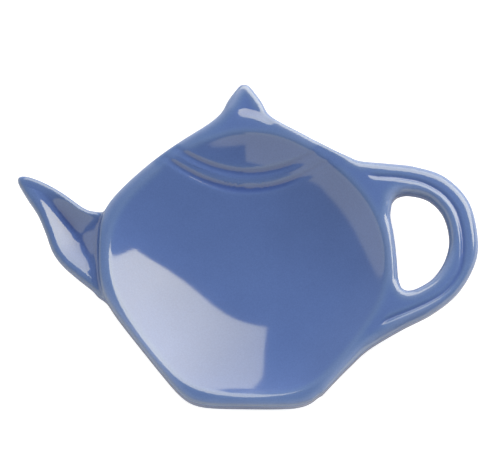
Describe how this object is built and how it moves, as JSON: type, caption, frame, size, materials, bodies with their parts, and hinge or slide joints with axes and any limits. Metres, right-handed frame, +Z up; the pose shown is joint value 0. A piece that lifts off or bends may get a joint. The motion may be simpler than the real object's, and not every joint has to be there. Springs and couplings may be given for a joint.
{
  "type": "tea bag rest",
  "caption": "Shallow glazed dish in the outline of a teapot that holds a used tea bag: a sunken well with pressed lid lines, a troughed spout, a looped handle, a knob and a foot ring",
  "frame": {"origin": "on the resting plane, under the middle of the whole outline", "axes": "+X to the handle, so the spout points to -X; +Y to the knob; +Z up out of the well"},
  "size_m": [0.1264, 0.091, 0.0154],
  "materials": {
    "glaze": "glossy cornflower blue glaze, paler on edges, deeper in hollows",
    "bare_clay": "matt unglazed fired clay"
  },
  "bodies": {
    "root": {"dish": "glaze", "spout": "glaze", "handle": "glaze", "knob": "glaze", "foot_ring": "bare_clay"}
  },
  "joints": []
}
